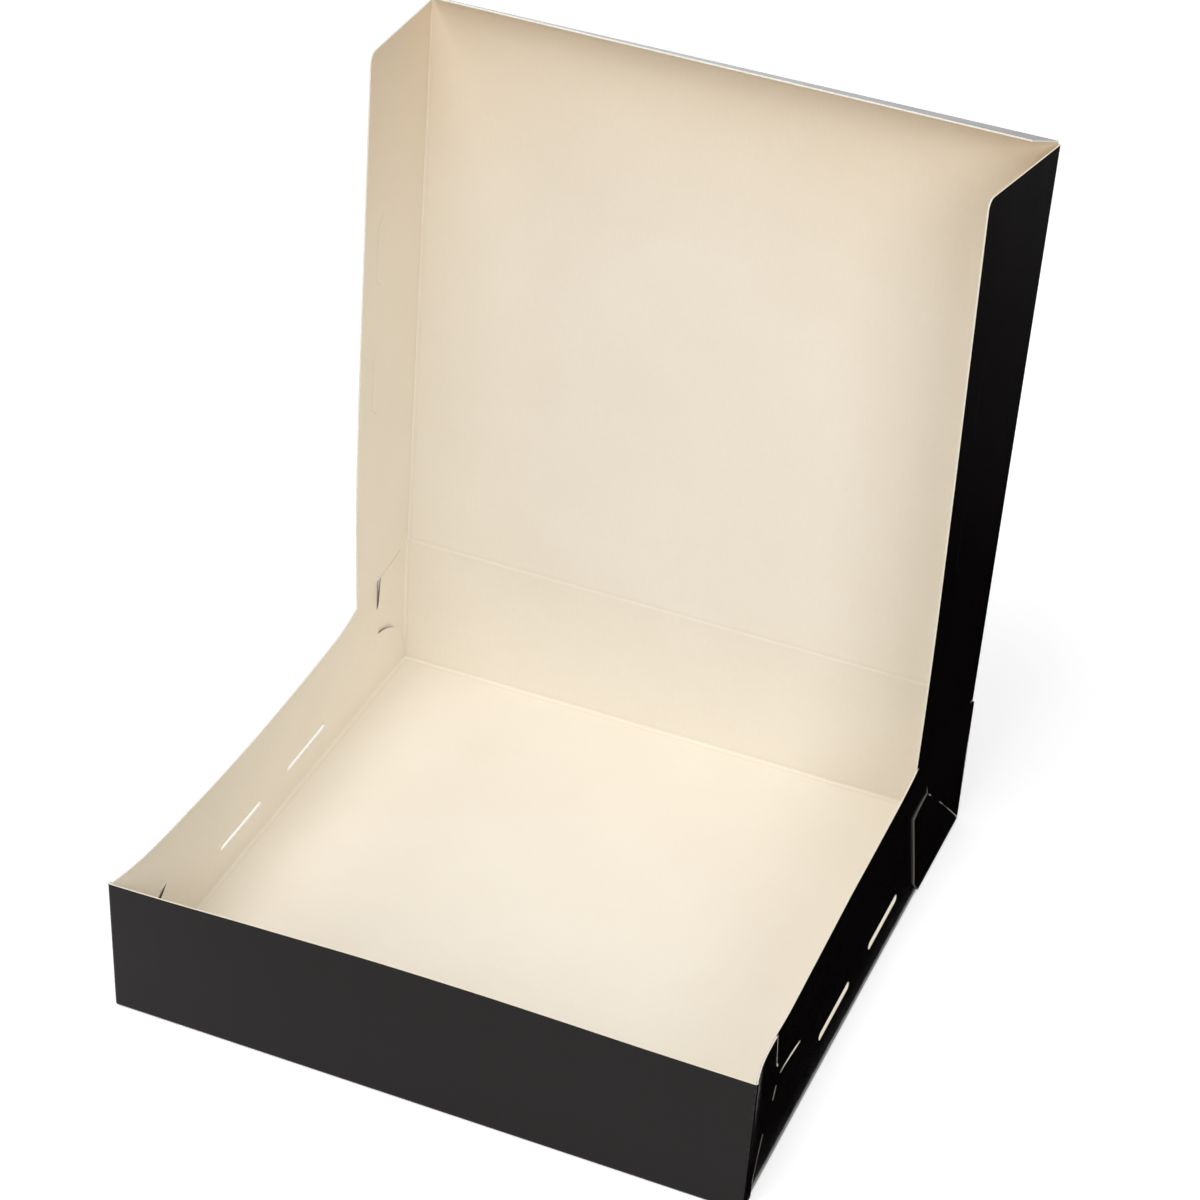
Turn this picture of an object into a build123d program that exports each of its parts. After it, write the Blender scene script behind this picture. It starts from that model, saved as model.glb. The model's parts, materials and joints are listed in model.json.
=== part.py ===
"""A shallow cake box folded from one sheet of board, with its lid standing open.

Sizes are in millimetres and angles in degrees. +Z is up, the front wall faces -Y and the lid
is hinged along the top of the back wall. The origin is the centre of the base's underside.
"""
import os
from math import cos, radians, sin

from build123d import *

# The sheet
board = 0.7                      # thickness of the board
layer_gap = 0.1                  # air between two layers that lie against each other at a corner
fold_radius = 0.5                # outer rounding of the tray's folds
fold_clearance = 0.3             # air between a crease's bead and the panel beside it

# The tray
tray_width = 300.0               # along X, over the corner tabs
tray_depth = 300.0               # along Y, over the front and back walls
wall_height = 72.0
base_relief = 0.9                # the corner tabs and side walls stop this far short of the fold beside them

# The lock slots in the side walls
slot_length = 41.0
slot_height = 4.0
slot_level = 21.0                # from the base's underside to the middle of a slot
slot_place_shares = (0.385, 0.613)   # middles of the slots, from the front wall, as shares of the depth

# The tab that runs from the back wall over the outside of a side wall
rear_tab_reach = 73.0
rear_tab_reach_shares = (0.86, 0.95, 1.0, 0.69, 0.62)
rear_tab_height_shares = (0.0, 0.12, 0.68, 0.69, 1.0)
crease_width = 0.9
crease_depth = 0.15
crease_reach_share = 0.96        # of the way from the foot of the corner to the tab's inside angle

# The notch at the top rear corner of a side wall, with the rounded lobe below it
notch_length = 34.0
notch_level = 36.5               # from the base's underside to the notch's foot
lobe_length_share = 0.35         # the lobe's middle point, as shares of the notch
lobe_level_share = 0.72
lobe_foot_share = 0.16

# The tab that runs from the front wall over the outside of a side wall, and its hook
front_tab_reach = 46.0
front_tab_reach_shares = (0.22, 0.80, 1.0, 0.96, 0.79, 0.72)
front_tab_height_shares = (0.0, 0.42, 0.59, 0.69, 0.80, 1.0)
hook_slot_length = 25.0
hook_slot_width = 1.8
hook_slot_sag = 3.0
hook_length = 13.0
hook_level_share = 0.585         # of the wall's height

# The lid
lid_lean = 2.0                   # how far the open lid leans back from upright
crease_gap = 0.8                 # from a flap's fold line to the edge of the lid panel
front_clearance = 1.6            # between the closed lid's front flap and the front wall

# The lid's side flaps, which go down inside the side walls
side_flap_depth = 70.0
side_flap_clearance = 0.3        # between a flap and the side wall that it slides along
side_flap_end_gap = 1.2          # from the flap's front end to the front flap's fold line
side_flap_rear_gap = 0.9         # from the flap's rear end to the hinge line
side_flap_corner = 6.0
side_flap_taper = 4.0
side_flap_taper_length = 58.0
left_flap_turn = 4.0             # how far each flap is turned in past square
right_flap_turn = 10.0

# The lock tongues cut in the side flaps
tongue_cut = 0.4
tongue_reach = 5.5
tongue_corner = 5.0
tongue_side_gap = 2.0            # how much shorter a tongue is than its slot, at each end

# The lid's front flap
front_flap_depth = 20.0
front_flap_fold = 70.0           # how far it is folded from the lid's own plane
front_flap_inset = 1.5
front_flap_taper = 7.0
front_flap_corner = 5.0


# Places worked out from the sizes above
half_width = tray_width / 2
half_depth = tray_depth / 2
side_wall_face = half_width - board - layer_gap       # outer face of a side wall
side_wall_inner = side_wall_face - board
slot_centres = [share * tray_depth for share in slot_place_shares]
hinge_y = half_depth - board / 2
hinge_z = wall_height + fold_clearance + board / 2
side_fold_x = side_wall_inner - side_flap_clearance - board / 2
front_reach = hinge_y + half_depth - board            # from the hinge line to the front wall's inner face
lid_length = front_reach - front_flap_depth * cos(radians(front_flap_fold)) - front_clearance

lid_plane = Plane(
    origin=(0, hinge_y, hinge_z),
    x_dir=(1, 0, 0),
    z_dir=(0, -cos(radians(lid_lean)), sin(radians(lid_lean))),
)
lid_up = lid_plane.y_dir         # from the hinge line to the lid's front edge
lid_forward = lid_plane.z_dir    # out of the lid's inner face


def rear_tab_points():
    """Corners of the rear tab, as (y, z), from its foot at the back wall round to its top."""
    points = [(half_depth, base_relief)]
    for reach_share, height_share in zip(rear_tab_reach_shares, rear_tab_height_shares):
        level = base_relief + height_share * (wall_height - base_relief)
        points.append((half_depth - reach_share * rear_tab_reach, level))
    points.append((half_depth, wall_height))
    return points


def front_tab_points():
    """Corners of the front tab, as (y, z), from its foot at the front wall round to its top."""
    points = [(-half_depth, base_relief)]
    for reach_share, height_share in zip(front_tab_reach_shares, front_tab_height_shares):
        level = base_relief + height_share * (wall_height - base_relief)
        points.append((-half_depth + reach_share * front_tab_reach, level))
    points.append((-half_depth, wall_height))
    return points


# The hook slot is an arc that starts just ahead of the front tab's tip
hook_level = hook_level_share * wall_height
hook_start = -half_depth + front_tab_reach - hook_slot_width
hook_arc = ThreePointArc(
    (hook_start, hook_level),
    (hook_start + hook_slot_length / 2, hook_level - hook_slot_sag),
    (hook_start + hook_slot_length, hook_level),
)
hook_share = hook_length / hook_slot_length

# Tray: base, four walls and corner tabs, folded from one piece. Its right half is built and mirrored.
with BuildPart() as tray:
    # Base with the front and back walls, as one U section with rounded folds
    with BuildSketch(Plane.YZ):
        with Locations((0, wall_height / 2)):
            Rectangle(tray_depth, wall_height)
        fillet(vertices().group_by(Axis.Y)[0], fold_radius)
        with Locations((0, board + wall_height / 2)):
            Rectangle(tray_depth - 2 * board, wall_height, mode=Mode.SUBTRACT)
    extrude(amount=side_wall_face)

    # The front and back walls run on to the corner tabs' folds
    for wall_plane in (Plane.XZ.offset(half_depth), Plane.XZ.offset(board - half_depth)):
        with BuildSketch(wall_plane):
            with Locations(((side_wall_face + half_width) / 2, (base_relief + wall_height) / 2)):
                Rectangle(half_width - side_wall_face, wall_height - base_relief)
        extrude(amount=-board)

    # Corner tabs, outside the side wall
    with BuildSketch(Plane.YZ.offset(half_width)):
        with BuildLine():
            Polyline(*rear_tab_points(), close=True)
        make_face()
        with BuildLine():
            Polyline(*front_tab_points(), close=True)
        make_face()
    extrude(amount=-board)
    corner_folds = edges().filter_by(Axis.Z).group_by(Axis.X)[-1]
    fillet(corner_folds, fold_radius)

    # Crease across the rear tab, from the foot of the corner almost to the tab's inside angle
    crease_line = Line(rear_tab_points()[0], rear_tab_points()[4], mode=Mode.PRIVATE)
    with BuildSketch(Plane.YZ.offset(half_width)):
        trace(crease_line.trim(0, crease_reach_share), line_width=crease_width)
    extrude(amount=-crease_depth, mode=Mode.SUBTRACT)

    # Side wall with its rear notch and lobe, lock slots and hook slot
    with BuildSketch(Plane.YZ.offset(side_wall_face)):
        wall_front = -half_depth + base_relief
        wall_rear = half_depth - base_relief
        notch_front = wall_rear - notch_length
        with BuildLine():
            Polyline(
                (wall_rear, lobe_foot_share * notch_level),
                (wall_rear, 0),
                (wall_front, 0),
                (wall_front, wall_height),
                (notch_front, wall_height),
                (notch_front, notch_level),
            )
            ThreePointArc(
                (notch_front, notch_level),
                (wall_rear - lobe_length_share * notch_length, lobe_level_share * notch_level),
                (wall_rear, lobe_foot_share * notch_level),
            )
        make_face()
        for slot_centre in slot_centres:
            with Locations((-half_depth + slot_centre, slot_level)):
                SlotOverall(slot_length, slot_height, mode=Mode.SUBTRACT)
        SlotArc(hook_arc, hook_slot_width, mode=Mode.SUBTRACT)
    extrude(amount=-board)
    base_fold = edges().filter_by(Axis.Y).group_by(Axis.Z)[0].group_by(Axis.X)[-1]
    fillet(base_fold, fold_radius)

    # Hook of the front tab, which turns in through its slot
    with BuildSketch(Plane.YZ.offset(half_width)):
        SlotArc(hook_arc.trim(0, hook_share), board)
    extrude(amount=side_wall_inner - half_width)

    mirror(about=Plane.YZ)

tray.part.label = "tray"


# Lid panel, with a rounded bead along its hinge line
with BuildPart() as lid:
    with BuildSketch(lid_plane):
        with Locations((0, (lid_length - crease_gap) / 2)):
            Rectangle(2 * (side_fold_x - crease_gap), lid_length - crease_gap)
    extrude(amount=board / 2, both=True)
    bead_end = side_fold_x - crease_gap
    with BuildSketch(Plane(origin=(-bead_end, hinge_y, hinge_z), z_dir=(1, 0, 0))):
        Circle(board / 2)
    extrude(amount=2 * bead_end)

lid.part.label = "lid"


# Outline of a side flap, with x along the lid from the hinge line and y its depth
flap_front = lid_length - side_flap_end_gap
side_flap_points = [
    (side_flap_rear_gap, 0),
    (side_flap_rear_gap, side_flap_depth - side_flap_taper),
    (side_flap_rear_gap + side_flap_taper_length, side_flap_depth),
    (flap_front, side_flap_depth),
    (flap_front, 0),
]


def tongue_points(slot_centre):
    """Corners of the three-sided cut that frees the lock tongue of one slot."""
    middle = front_reach + board - slot_centre
    half = slot_length / 2 - tongue_side_gap
    foot = hinge_z - slot_level - tongue_reach / 2
    return [
        (middle - half, foot),
        (middle - half + tongue_corner, foot + tongue_reach),
        (middle + half - tongue_corner, foot + tongue_reach),
        (middle + half, foot),
    ]


# Side flaps of the lid, one at each side, turned in a little past square
side_flaps = []
for flap_name, side, turn in (
    ("left_flap", -1, left_flap_turn),
    ("right_flap", 1, right_flap_turn),
):
    inward = Vector(-side, 0, 0)
    depth_dir = lid_forward * cos(radians(turn)) + inward * sin(radians(turn))
    fold_start = lid_plane.from_local_coords((side * side_fold_x, 0))
    with BuildPart() as flap:
        with BuildSketch(Plane(origin=fold_start, x_dir=lid_up, z_dir=lid_up.cross(depth_dir))):
            with BuildLine():
                Polyline(*side_flap_points, close=True)
            make_face()
            fillet(vertices().sort_by(Axis.X)[-2:].sort_by(Axis.Y)[-1], side_flap_corner)
            for slot_centre in slot_centres:
                with BuildLine():
                    tongue_line = Polyline(*tongue_points(slot_centre))
                trace(tongue_line, line_width=tongue_cut, mode=Mode.SUBTRACT)
        extrude(amount=board / 2, both=True)
        bead_start = fold_start + lid_up * side_flap_rear_gap
        with BuildSketch(Plane(origin=bead_start, x_dir=(1, 0, 0), z_dir=lid_up)):
            Circle(board / 2)
        extrude(amount=flap_front - side_flap_rear_gap)
    flap.part.label = flap_name
    side_flaps.append(flap)


# Front flap of the lid, folded forward over the open lid's top edge
front_fold = lid_plane.from_local_coords((0, lid_length))
flap_dir = lid_up * cos(radians(front_flap_fold)) + lid_forward * sin(radians(front_flap_fold))
front_flap_half = side_fold_x - front_flap_inset
with BuildPart() as front_flap:
    with BuildSketch(Plane(origin=front_fold, x_dir=(1, 0, 0), z_dir=Vector(1, 0, 0).cross(flap_dir))):
        with BuildLine():
            Polyline(
                (-front_flap_half, 0),
                (front_flap_half, 0),
                (front_flap_half - front_flap_taper, front_flap_depth),
                (-front_flap_half + front_flap_taper, front_flap_depth),
                close=True,
            )
        make_face()
        fillet(vertices().group_by(Axis.Y)[-1], front_flap_corner)
    extrude(amount=board / 2, both=True)
    with BuildSketch(Plane(origin=front_fold + Vector(-front_flap_half, 0, 0), z_dir=(1, 0, 0))):
        Circle(board / 2)
    extrude(amount=2 * front_flap_half)

front_flap.part.label = "front_flap"


os.makedirs("parts", exist_ok=True)
for piece in (tray, lid, *side_flaps, front_flap):
    export_step(piece.part, "parts/" + piece.part.label + ".step")
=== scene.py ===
import cmath
import json
import math
import bmesh
import bpy
import numpy as np
from mathutils import Matrix, Vector
from mathutils.geometry import delaunay_2d_cdt


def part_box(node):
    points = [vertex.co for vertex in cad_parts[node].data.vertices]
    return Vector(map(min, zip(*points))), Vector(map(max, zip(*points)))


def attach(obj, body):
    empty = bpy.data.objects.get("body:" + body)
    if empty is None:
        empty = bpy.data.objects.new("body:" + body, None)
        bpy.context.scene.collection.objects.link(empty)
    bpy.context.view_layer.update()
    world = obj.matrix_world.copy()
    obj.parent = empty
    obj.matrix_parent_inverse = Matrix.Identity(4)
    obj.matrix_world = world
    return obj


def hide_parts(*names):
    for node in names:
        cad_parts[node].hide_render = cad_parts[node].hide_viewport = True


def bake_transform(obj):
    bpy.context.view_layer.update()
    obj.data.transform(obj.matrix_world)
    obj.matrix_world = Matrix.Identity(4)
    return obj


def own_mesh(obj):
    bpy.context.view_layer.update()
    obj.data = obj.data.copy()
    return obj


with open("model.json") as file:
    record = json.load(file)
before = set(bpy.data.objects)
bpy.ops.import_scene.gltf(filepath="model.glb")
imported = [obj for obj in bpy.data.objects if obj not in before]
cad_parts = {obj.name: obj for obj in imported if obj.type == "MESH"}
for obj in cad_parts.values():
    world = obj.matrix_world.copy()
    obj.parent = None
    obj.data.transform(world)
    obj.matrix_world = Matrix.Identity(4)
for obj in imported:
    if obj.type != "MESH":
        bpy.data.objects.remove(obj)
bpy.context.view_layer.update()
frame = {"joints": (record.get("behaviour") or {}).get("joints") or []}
mm = 0.001  # sizes below are in millimetres, meshes in metres


# What the frame says
def jointOf(name):
    return next(j for j in frame["joints"] if j["name"] == name)


def jointPlace(name):
    return np.array(jointOf(name)["pos_m"]) / mm


def unit(vector):
    return vector / np.linalg.norm(vector)


halfWidth, halfDepth, wallHeight = np.array(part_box("tray")[1]) / mm
hingePlace = jointPlace("lid_hinge")
lidSpread = 1.0  # the lid's side folds stand this far out of their joints
flapFoldX = jointPlace("right_flap_fold")[0] + lidSpread
frontFoldPlace = jointPlace("front_flap_fold")
lidLength = float(np.linalg.norm(frontFoldPlace - hingePlace))
acrossDir = np.array([1.0, 0.0, 0.0])
lidUp = unit(np.array(jointOf("left_flap_fold")["axis"], float))
lidForward = np.cross(acrossDir, lidUp)
print("frame read: lid", round(lidLength, 1), "mm long")

# The sheet that everything is folded from
sheet = {
    "board": 0.7,
    "layerGap": 0.1,
    "foldRadius": 0.5,  # inside a fold
    "cell": 6.0,  # size of the mesh's cells on the flat
    "foldSteps": 5,
    "foldLines": (0.5, 0.9, 1.4, 2.2, 3.4),  # extra mesh lines at each side of a fold
    "ridgeHeight": 0.11,  # the scored crease stands up on the inside
    "ridgeWidth": 0.7,
    "groove": 0.045,  # and is pressed down at each side of that ridge
    "groovePlace": 1.7,
    "grooveWidth": 0.6,
    "markWidth": 0.9,  # painted highlight on the bead of a fold, and wear on its black face
    "markShade": 0.75,  # and the painted shade in the groove at each side of it
    "seam": 0.6,  # where one mesh hands over to the next, past a fold
    "sharpAngle": 32.0,
    "pointGap": 0.04,  # closest that points on an outline, and mesh lines, come to each other
    "lineGap": 0.05,
    "gridGap": 0.08,  # and that the points inside come to the outline
    "curveSamples": 241,
}
sides = {"left": -1, "right": 1}  # what differs between them is given by these numbers
creamSlot, blackSlot, cutSlot = range(3)  # material slots of every piece
board = sheet["board"]
foldArc = sheet["foldRadius"] * math.pi / 2
sideWallFace = halfWidth - board - sheet["layerGap"]
sideWallInner = sideWallFace - board


# Mesh tools
def gridLines(low, high, folds=()):
    # Evenly spaced mesh lines from low to high, closer together at each fold
    count = max(2, round((high - low) / sheet["cell"]))
    lines = list(np.linspace(low, high, count + 1))
    for start, arc in folds:
        lines += [start + arc * k / sheet["foldSteps"] for k in range(sheet["foldSteps"] + 1)]
        for gap in sheet["foldLines"]:
            lines += [start - gap, start + arc + gap]
    lines = sorted(v for v in lines if low <= v <= high)
    kept = [lines[0]]
    for value in lines[1:]:
        if value - kept[-1] > sheet["lineGap"]:
            kept.append(value)
    return np.array(kept)


def cutAtLines(loop, across, along):
    # The same outline with a point wherever it crosses a mesh line
    out = []
    for (u0, v0), (u1, v1) in zip(loop, loop[1:] + loop[:1]):
        shares = {0.0}
        for lines, a, b in ((across, u0, u1), (along, v0, v1)):
            if abs(b - a) > 1e-6:
                found = (lines - a) / (b - a)
                shares |= {float(s) for s in found if 0 < s < 1}
        length = math.hypot(u1 - u0, v1 - v0)
        last = -1.0
        for share in sorted(shares):
            if last < 0 or min(share - last, 1 - share) * length > sheet["pointGap"]:
                out.append((u0 + (u1 - u0) * share, v0 + (v1 - v0) * share))
                last = share
    return out


def insideLoops(points, starts, ends):
    found = np.zeros(len(points), bool)
    for (u0, v0), (u1, v1) in zip(starts, ends):
        if abs(v1 - v0) < 1e-12:
            continue
        spans = (v0 > points[:, 1]) != (v1 > points[:, 1])
        crossing = u0 + (points[:, 1] - v0) * (u1 - u0) / (v1 - v0)
        found ^= spans & (points[:, 0] < crossing)
    return found


def nearestEdge(points, starts, ends):
    least = np.full(len(points), 1e9)
    for a, b in zip(starts, ends):
        run = b - a
        share = np.clip(((points - a) @ run) / max(run @ run, 1e-12), 0, 1)
        least = np.minimum(least, np.linalg.norm(points - a - share[:, None] * run, axis=1))
    return least


def flatMesh(loops, across, along):
    # Triangles that fill the outline (the first loop) and leave its holes (the others) open
    points, edges = [], []
    for loop in loops:
        cut = cutAtLines(loop, across, along)
        first = len(points)
        points += cut
        edges += [(first + k, first + (k + 1) % len(cut)) for k in range(len(cut))]
    border = np.array(points)
    starts = border[[e[0] for e in edges]]
    ends = border[[e[1] for e in edges]]
    grid = np.array([(u, v) for v in along for u in across])
    grid = grid[insideLoops(grid, starts, ends)]
    grid = grid[nearestEdge(grid, starts, ends) > sheet["gridGap"]]
    flat = np.vstack([border, grid])
    made = delaunay_2d_cdt([Vector(p) for p in flat], edges, [], 0, 1e-7)
    flat = np.array([tuple(v) for v in made[0]])
    faces = np.array([f[:] for f in made[2]])
    faces = faces[insideLoops(flat[faces].mean(axis=1), starts, ends)]
    return flat, faces


def makePanel(name, loops, across, along, place, mark=None, paintedEdgeShade=None):
    # A sheet of board: cream face, black face and cut edge, put in place by the place function.
    # mark says where it is scored, which paints a highlight on the folds' beads, shade in their grooves and
    # wear on their black face; the last function says how much painted shade darkens its cut edge
    flat, faces = flatMesh(loops, across, along)
    count = len(flat)
    verts = np.vstack([place(flat, np.zeros(count)), place(flat, np.full(count, board))])
    edges = dict.fromkeys((a, b) for face in faces for a, b in zip(face, np.roll(face, -1)))
    rim = [(a, b) for a, b in edges if (b, a) not in edges]
    polygons = [tuple(f) for f in faces] + [tuple(f + count)[::-1] for f in faces]
    polygons += [(b, a, a + count, b + count) for a, b in rim]
    mesh = bpy.data.meshes.new(name)
    mesh.from_pydata([tuple(v * mm) for v in verts], [], [[int(i) for i in p] for p in polygons])
    slots = np.repeat([creamSlot, blackSlot, cutSlot], [len(faces), len(faces), len(rim)])
    for material in (creamInside, blackOutside, cutEdge):
        mesh.materials.append(material)
    mesh.polygons.foreach_set("material_index", slots.astype(np.int32))
    for key, function in (("foldLightShadeAndWear", mark), ("paintedEdgeShade", paintedEdgeShade)):
        values = np.zeros(count) if function is None else function(flat)
        setAttribute(mesh, key, np.tile(values, 2))
    return finishMesh(name, mesh)


def setAttribute(mesh, name, values):
    mesh.attributes.new(name, "FLOAT", "POINT").data.foreach_set("value", values.astype(np.float32))


def finishMesh(name, mesh):
    build = bmesh.new()
    build.from_mesh(mesh)
    loose = [v for v in build.verts if not v.link_faces]
    bmesh.ops.delete(build, geom=loose, context="VERTS")
    bmesh.ops.recalc_face_normals(build, faces=build.faces)
    build.to_mesh(mesh)
    build.free()
    mesh.shade_smooth()
    mesh.set_sharp_from_angle(angle=math.radians(sheet["sharpAngle"]))
    return addObject(name, mesh)


def addObject(name, data):
    added = bpy.data.objects.new(name, data)
    bpy.context.scene.collection.objects.link(added)
    return added


def bend(distance):
    # A square fold: how far along, how far up and how far turned a point of the sheet is
    radius = sheet["foldRadius"]
    turn = np.clip(distance / radius, 0, math.pi / 2)
    past = np.maximum(distance - foldArc, 0)
    along = np.where(distance < 0, distance, radius * np.sin(turn))
    return along, radius * (1 - np.cos(turn)) + past, turn


def bell(distance, width):
    return np.exp(-((distance / width) ** 2))


def ridge(distance):
    # How far the scored crease stands up, by the distance from its middle
    up = sheet["ridgeHeight"] * bell(distance, sheet["ridgeWidth"])
    return up - sheet["groove"] * bell(abs(distance) - sheet["groovePlace"], sheet["grooveWidth"])


def foldLightShadeAndWear(distance):
    # Positive on the bead of a fold, where the cream face gets a painted highlight and the black face wear,
    # negative in the grooves beside it, where the cream face gets painted shade
    beside = bell(abs(distance) - sheet["groovePlace"], sheet["grooveWidth"])
    return bell(distance, sheet["markWidth"]) - sheet["markShade"] * beside


def raised(depth, height):
    # The sheet's depth with its cream face standing up by that height
    return depth - np.where(depth == 0, height, 0)


def strongest(*marks):
    # Of several folds' marks, the one that shows most at each point
    marks = np.array(marks)
    return np.take_along_axis(marks, abs(marks).argmax(axis=0)[None], axis=0)[0]


def smoothCurve(points, reach):
    # A smooth curve near a few (place, value) points, as a function
    places = np.linspace(points[0][0], points[-1][0], sheet["curveSamples"])
    values = np.interp(places, *zip(*points))
    width = max(1, round(reach / (places[1] - places[0])))
    weights = np.hanning(2 * width + 3)
    before = 2 * values[0] - values[width + 1:0:-1]
    after = 2 * values[-1] - values[-2:-width - 3:-1]
    padded = np.concatenate([before, values, after])
    smoothed = np.convolve(padded, weights / weights.sum(), "valid")
    return lambda at: np.interp(at, places, smoothed)


def sideCurves(points, reach):
    return {side: smoothCurve(points[side], reach) for side in sides.values()}


def arcPoints(start, through, end, steps):
    # Points on the circle through three points, worked out as complex numbers
    a, b, c = (complex(*point) for point in (start, through, end))
    ratio = (c - a) / (b - a)
    centre = a + (b - a) * (ratio - abs(ratio) ** 2) / (2j * ratio.imag)
    turnThrough, turnAll = (cmath.phase((p - centre) / (a - centre)) % (2 * math.pi) for p in (b, c))
    if turnThrough > turnAll:
        turnAll -= 2 * math.pi
    places = [centre + (a - centre) * cmath.rect(1, turnAll * k / steps) for k in range(steps + 1)]
    return [(p.real, p.imag) for p in places]


def channel(path, widths, sharpest=0.3):
    # The outline of a narrow cut that follows a path, with its width at each point
    path = [np.array(p, float) for p in path]
    left, right = [], []
    for k, point in enumerate(path):
        before, after = path[max(k - 1, 0)], path[min(k + 1, len(path) - 1)]
        runs = [unit(r) for r in (point - before, after - point) if r.any()]
        run = unit(sum(runs))
        normal = np.array([-run[1], run[0]])
        reach = widths[k] / 2 / max(sharpest, float(run @ runs[0]))
        left.append(tuple(point + normal * reach))
        right.append(tuple(point - normal * reach))
    return left + right[::-1]


def slotLoop(centreU, centreV, length, height, steps=6):
    # A slot with round ends
    radius = height / 2
    loop = []
    for side in (1, -1):
        for k in range(steps + 1):
            angle = -math.pi / 2 + math.pi * k / steps
            loop.append((centreU + side * (length / 2 - radius + radius * math.cos(angle)),
                         centreV + side * radius * math.sin(angle)))
    return loop


# Node trees
def setInputs(tree, node, inputs):
    # inputs: by name or place, a socket to link or a value to set
    for key, value in inputs.items():
        if hasattr(value, "is_linked"):
            tree.links.new(value, node.inputs[key])
        else:
            node.inputs[key].default_value = value


def addNode(tree, kind, inputs=None, **settings):
    node = tree.nodes.new(kind)
    for name, value in settings.items():
        setattr(node, name, value)
    setInputs(tree, node, inputs or {})
    return node


def maths(tree, operation, *values):
    return addNode(tree, "ShaderNodeMath", dict(enumerate(values)), operation=operation).outputs[0]


def newMaterial(name):
    material = bpy.data.materials.new(name)
    material.use_nodes = True
    tree = material.node_tree
    tree.nodes.clear()
    shader = addNode(tree, "ShaderNodeBsdfPrincipled")
    addNode(tree, "ShaderNodeOutputMaterial", {"Surface": shader.outputs["BSDF"]})
    return material, tree, shader, addNode(tree, "ShaderNodeTexCoord").outputs["Object"]


def noise(tree, vector, scale, detail, stretch=(1, 1, 1)):
    mapping = addNode(tree, "ShaderNodeMapping", {"Scale": stretch, "Vector": vector})
    inputs = {"Scale": scale, "Detail": detail, "Vector": mapping.outputs["Vector"]}
    return addNode(tree, "ShaderNodeTexNoise", inputs).outputs["Fac"]


def ramp(tree, source, places, colours):
    node = addNode(tree, "ShaderNodeValToRGB", {"Fac": source})
    elements = node.color_ramp.elements
    while len(elements) < len(places):
        elements.new(0.5)
    for element, place, colour in zip(elements, places, colours):
        element.position = place
        element.color = (*colour, 1.0)
    return node.outputs["Color"]


def mix(tree, kind, factor, first, second):
    inputs = {0: factor, 6: first, 7: second}
    return addNode(tree, "ShaderNodeMix", inputs, data_type="RGBA", blend_type=kind).outputs[2]


def scaled(tree, source, low, high):
    inputs = {"To Min": low, "To Max": high, "Value": source}
    return addNode(tree, "ShaderNodeMapRange", inputs).outputs["Result"]


def attribute(tree, name):
    return addNode(tree, "ShaderNodeAttribute", attribute_name=name).outputs["Fac"]


def bumps(tree, *layers):
    # layers: (height source, (strength, distance in metres)). Gives the normal
    normal = None
    for source, (strength, distance) in layers:
        inputs = {"Strength": strength, "Distance": distance, "Height": source}
        if normal is not None:
            inputs["Normal"] = normal
        normal = addNode(tree, "ShaderNodeBump", inputs).outputs["Normal"]
    return normal


# Materials. A noise is its scale, detail and stretch, a spread where it turns from one tone to the other
# and a bump its strength and its depth in metres
plain, none = (1.0, 1.0, 1.0), (0.0, 0.0, 0.0)
cream = {
    "clouds": (22.0, 4.0),
    "cloudSpread": (0.30, 0.72),
    "cloudShades": ((0.882, 0.823, 0.720), (0.898, 0.844, 0.748)),
    "cloudBump": (0.25, 0.0004),
    "fibres": (900.0, 4.0, (1.0, 1.0, 0.35)),
    "fibreSpread": (0.30, 0.70),
    "fibreShades": ((0.982, 0.979, 0.974), plain),
    "fibreBump": (0.18, 0.00005),
    "paintedShadeHeights": (0.10, 0.375),  # painted shade: the board is darker and warmer higher up, most towards the lid's front edge, for the front flap's shadow and the warm light the box throws on itself
    "paintedShadePlaces": (0.0, 0.6, 1.0),
    "paintedShadeTones": (plain, (0.982, 0.955, 0.918), (0.900, 0.810, 0.700)),
    "flecks": (260.0, 2.0),
    "fleckSpread": (0.74, 0.80),
    "fleckTint": (0.20, (0.800, 0.690, 0.520, 1.0)),    # how much of the colour is put over the cream
    # foldTint is a painted highlight on the bead of each fold, grooveTint painted shade in the grooves beside
    # it
    "foldTint": (0.30, (0.930, 0.875, 0.770, 1.0)),
    "grooveTint": (0.20, (0.620, 0.520, 0.370, 1.0)),
    "roughness": (0.66, 0.82),
    "specular": 0.25,
}


def makeCream():
    material, tree, shader, place = newMaterial("creamInside")
    cloud = noise(tree, place, *cream["clouds"])
    fibre = noise(tree, place, *cream["fibres"])
    base = ramp(tree, cloud, cream["cloudSpread"], cream["cloudShades"])
    base = mix(tree, "MULTIPLY", 1.0, base, ramp(tree, fibre, cream["fibreSpread"], cream["fibreShades"]))
    # painted shade: darker and warmer with height
    low, high = cream["paintedShadeHeights"]
    height = addNode(tree, "ShaderNodeSeparateXYZ", {0: place}).outputs["Z"]
    height = addNode(tree, "ShaderNodeMapRange", {"From Min": low, "From Max": high, "Value": height})
    paintedShade = ramp(tree, height.outputs["Result"], cream["paintedShadePlaces"], cream["paintedShadeTones"])
    base = mix(tree, "MULTIPLY", 1.0, base, paintedShade)
    flecks = ramp(tree, noise(tree, place, *cream["flecks"]), cream["fleckSpread"], (none, plain))
    mark = attribute(tree, "foldLightShadeAndWear")
    # the folds get a painted highlight on their beads and painted shade in their grooves
    for key, where in ("fleck", flecks), ("fold", mark), ("groove", maths(tree, "MULTIPLY", mark, -1.0)):
        share, colour = cream[key + "Tint"]
        base = mix(tree, "MIX", scaled(tree, where, 0.0, share), base, colour)
    setInputs(tree, shader, {
        "Base Color": base,
        "Roughness": scaled(tree, fibre, *cream["roughness"]),
        "Specular IOR Level": cream["specular"],
        "Normal": bumps(tree, (cloud, cream["cloudBump"]), (fibre, cream["fibreBump"])),
    })
    return material


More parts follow.
